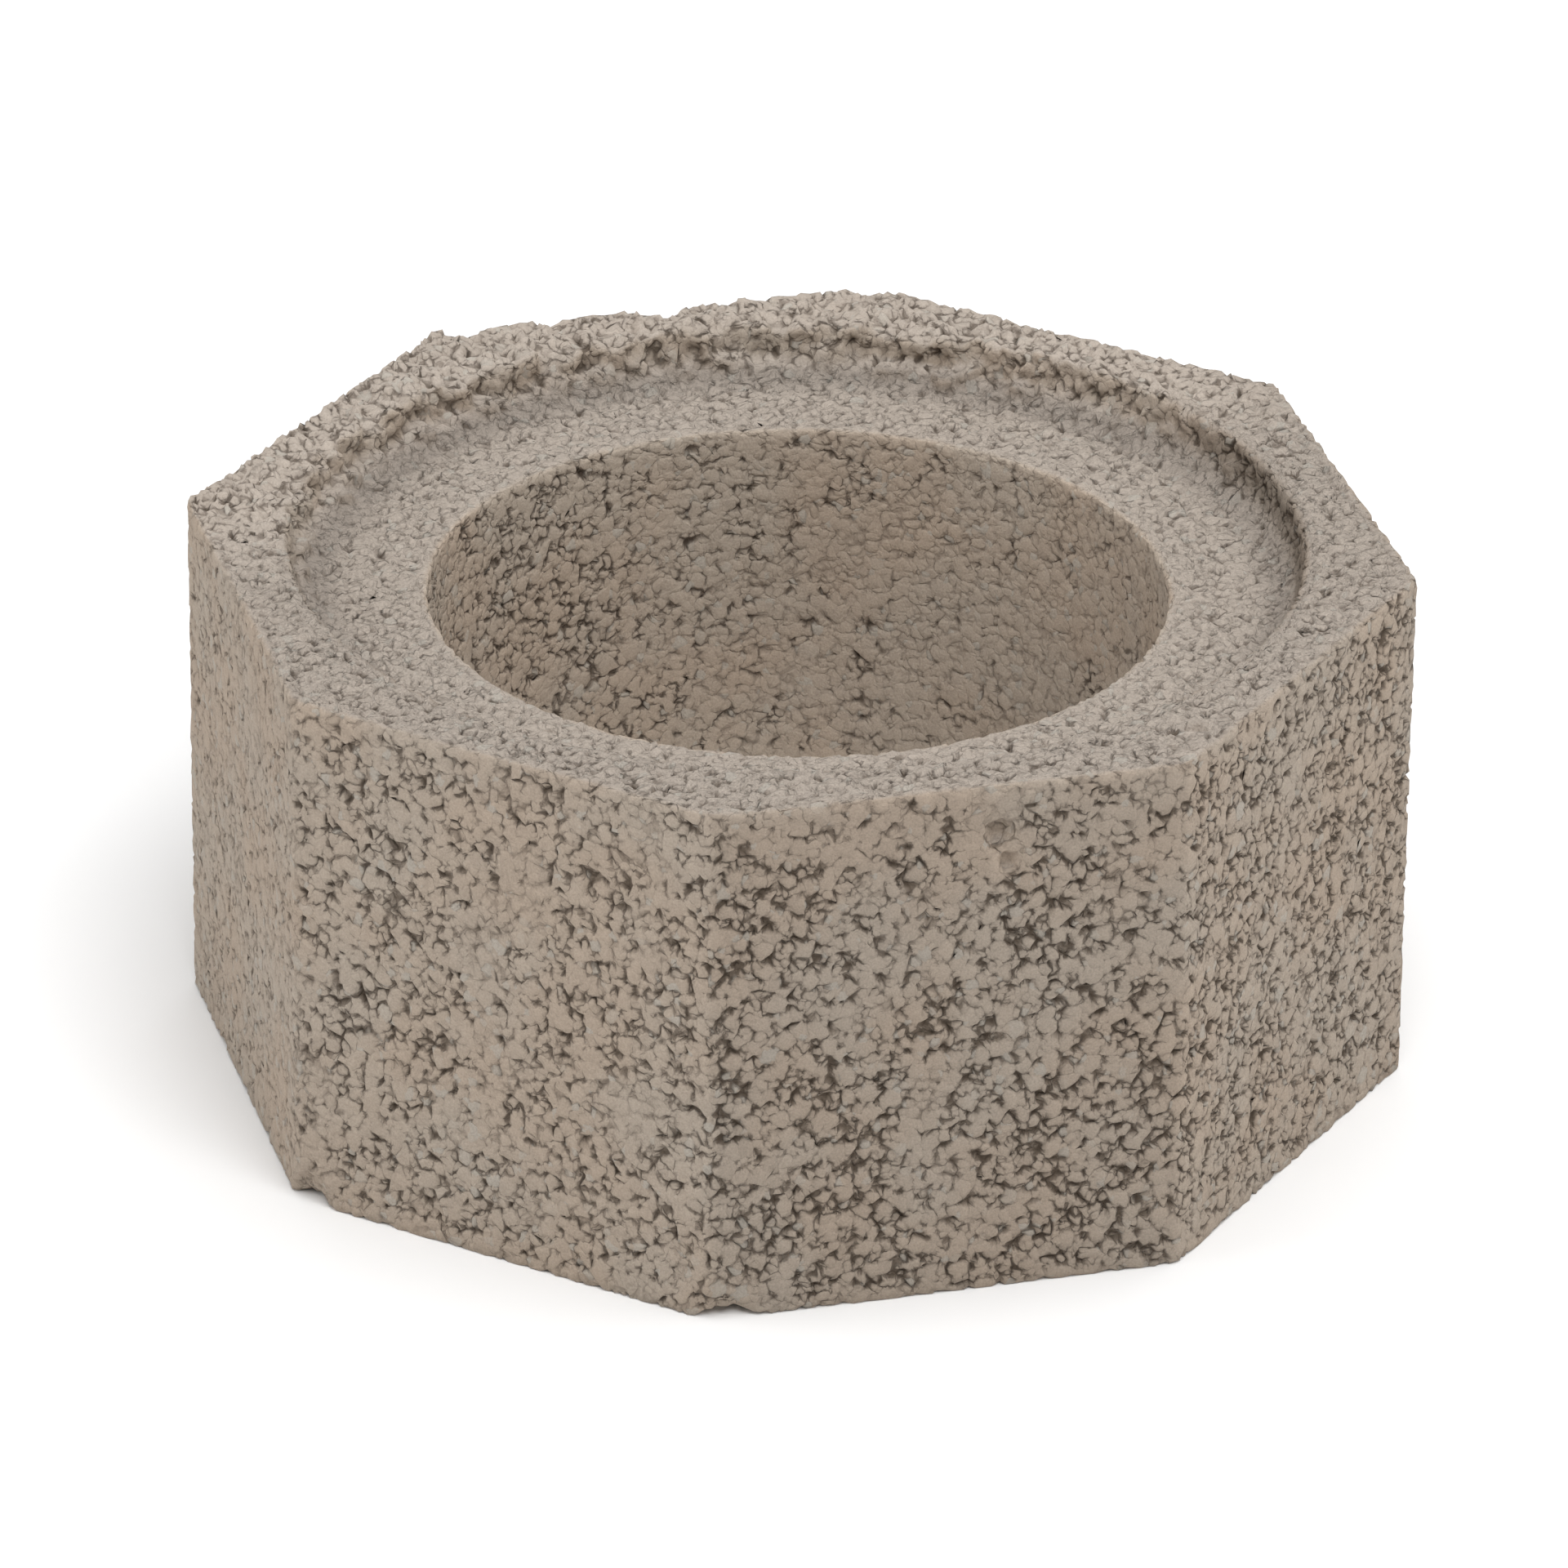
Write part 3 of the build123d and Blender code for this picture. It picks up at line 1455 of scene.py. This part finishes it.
@dataclass
class CastBlock:
    """The whole block, cast in one piece."""

    sizes: BlockSizes
    relief: Relief
    name: str = "cast_block"
    voxel: float = 0.0007
    quick_voxel: float = 0.0013
    most_triangles: int = 196_000

    def build(self) -> bpy.types.Object:
        """Model the block, cut its relief and dress it.

        Returns:
            The finished piece.
        """
        block = PlainForm(self.sizes).model(self.name)
        voxel = self.voxel
        cuts = BlockCuts(self.relief, SurfaceZones(self.sizes))
        for cut in (cuts.wear(), cuts.grain_relief()):
            apply_modifier(block, "REMESH", {"mode": "VOXEL", "voxel_size": voxel})
            apply_modifier(block, "NODES", {"node_group": cut})
        apply_modifier(block, "TRIANGULATE", {})
        share = min(1.0, self.most_triangles / len(block.data.polygons))
        apply_modifier(block, "DECIMATE", {"ratio": share})
        self._drop_flaps(block)
        apply_modifier(block, "NODES", {"node_group": cuts.limit()})
        deselect_everything()
        block.select_set(True)
        bpy.ops.object.shade_smooth()
        block.data.materials.clear()
        block.data.materials.append(ConcreteFinish(self.relief).material())
        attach(block, "root")
        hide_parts(CAD_NODE)
        return block

    def _drop_flaps(self, block: bpy.types.Object) -> None:
        """Delete the doubled faces that stand on the closed surface after it is thinned.

        Args:
            block: the thinned block.
        """
        block.data.validate()
        bpy.ops.object.mode_set(mode="EDIT")
        bpy.ops.mesh.select_mode(type="EDGE")
        bpy.ops.mesh.select_all(action="DESELECT")
        bpy.ops.mesh.select_non_manifold(
            use_wire=False, use_multi_face=False, use_non_contiguous=False, use_verts=False
        )
        bpy.ops.mesh.delete(type="EDGE")
        bpy.ops.mesh.delete_loose()
        bpy.ops.object.mode_set(mode="OBJECT")


@dataclass(frozen=True)
class StudioFloor:
    """A plain pale floor under the block."""

    span: float = 16.0
    drop: float = METRES_PER_MM / 10
    colour: Colour = (0.93, 0.93, 0.93)

    def build(self) -> bpy.types.Object:
        """Returns:
            The floor.
        """
        deselect_everything()
        bpy.ops.mesh.primitive_plane_add(size=self.span, location=(0, 0, -self.drop))
        floor = bpy.context.object
        floor.name = "studio_floor"
        bpy.ops.object.transform_apply(location=True, rotation=True, scale=True)
        paint = bpy.data.materials.new("pale_floor")
        paint.use_nodes = True
        paint.node_tree.nodes.clear()
        graph = Graph(paint.node_tree)
        shader = graph.node(
            "ShaderNodeBsdfDiffuse", inputs={"Color": (*self.colour, 1.0), "Roughness": 0.0}
        )
        graph.node("ShaderNodeOutputMaterial", inputs={"Surface": shader.outputs[0]})
        floor.data.materials.append(paint)
        return floor


@dataclass(frozen=True)
class SoftLight:
    """One large square lamp of the studio, aimed at the block."""

    name: str
    place: tuple[float, float, float]
    size: float
    watts: float

    def build(self, target: Vector) -> bpy.types.Object:
        """Hang the lamp and turn it to the target.

        Args:
            target: what the lamp is aimed at.

        Returns:
            The lamp.
        """
        lamp = bpy.data.lights.new(self.name, "AREA")
        lamp.shape = "SQUARE"
        lamp.size = self.size
        lamp.energy = self.watts
        hung = bpy.data.objects.new(self.name, lamp)
        hung.location = self.place
        aim = target - Vector(self.place)
        hung.rotation_euler = aim.to_track_quat("-Z", "Y").to_euler()
        bpy.context.scene.collection.objects.link(hung)
        return hung


@dataclass(frozen=True)
class Studio:
    """A white room with a soft key light above and weaker ones around the block."""

    room_strength: float = 0.30
    room_colour: Colour = (1.0, 1.0, 1.0)
    lights: tuple[SoftLight, ...] = (
        SoftLight("overhead_light", (0.25, 0.2, 2.4), 2.2, 35.0),
        SoftLight("high_front_light", (0.1, -1.5, 2.3), 1.6, 39.0),
        SoftLight("left_wall_light", (-2.5, 0.3, 0.9), 1.8, 27.0),
        SoftLight("right_wall_light", (2.4, -0.9, 0.9), 1.8, 15.0),
    )

    def build(self, target: Vector) -> None:
        """Light the room.

        Args:
            target: what the lamps are aimed at.
        """
        world = bpy.data.worlds.new("white_room")
        world.use_nodes = True
        world.node_tree.nodes.clear()
        graph = Graph(world.node_tree)
        glow = graph.node(
            "ShaderNodeBackground",
            inputs={"Color": (*self.room_colour, 1.0), "Strength": self.room_strength},
        )
        graph.node("ShaderNodeOutputWorld", inputs={"Surface": glow.outputs[0]})
        bpy.context.scene.world = world
        bpy.context.scene.view_settings.view_transform = "Standard"
        for light in self.lights:
            light.build(target)


@dataclass(frozen=True)
class PhotoCamera:
    """The photograph's viewpoint, as fitted to the block's edges. Distances are in widths."""

    sizes: BlockSizes
    elevation: float = math.radians(26.961)
    azimuth: float = math.radians(-15.274)
    roll: float = math.radians(0.624)
    distance: float = 9.662
    aim_left: float = 0.0104
    aim_near: float = 0.4805
    lens: float = 266.3
    sensor: float = 36.0

    def build(self) -> bpy.types.Object:
        """Place the camera and make it the scene's.

        Returns:
            The camera.
        """
        width = 2 * self.sizes.flat_distance
        right = Vector((math.cos(self.azimuth), math.sin(self.azimuth), 0))
        ahead = Vector((-math.sin(self.azimuth), math.cos(self.azimuth), 0))
        rise, level = math.sin(self.elevation), math.cos(self.elevation)
        up = ahead * rise + Vector((0, 0, level))
        forward = ahead * level - Vector((0, 0, rise))
        top = Vector((0, 0, self.sizes.height))
        aim = top - (right * self.aim_left + ahead * self.aim_near) * width
        turned_right = right * math.cos(self.roll) + up * math.sin(self.roll)
        turned_up = up * math.cos(self.roll) - right * math.sin(self.roll)
        turn = Matrix((turned_right, turned_up, -forward)).transposed().to_4x4()
        data = bpy.data.cameras.new("photo_camera")
        data.sensor_fit = "HORIZONTAL"
        data.sensor_width = self.sensor
        data.lens = self.lens
        camera = bpy.data.objects.new("photo_camera", data)
        camera.matrix_world = Matrix.Translation(aim - forward * self.distance * width) @ turn
        bpy.context.scene.collection.objects.link(camera)
        bpy.context.scene.camera = camera
        return camera


def main() -> None:
    """Build the camera, the studio, the floor and the block, in that order."""
    logging.basicConfig(level=logging.INFO, format="%(message)s")
    sizes = BlockSizes.from_frame()
    PhotoCamera(sizes).build()
    Studio().build(Vector((0, 0, sizes.height / 2)))
    floor = StudioFloor().build()
    log.info("floor: %s", floor.name)
    block = CastBlock(sizes, Relief()).build()
    log.info("piece: %s, %d triangles", block.name, len(block.data.polygons))


if __name__ == "__main__":
    main()
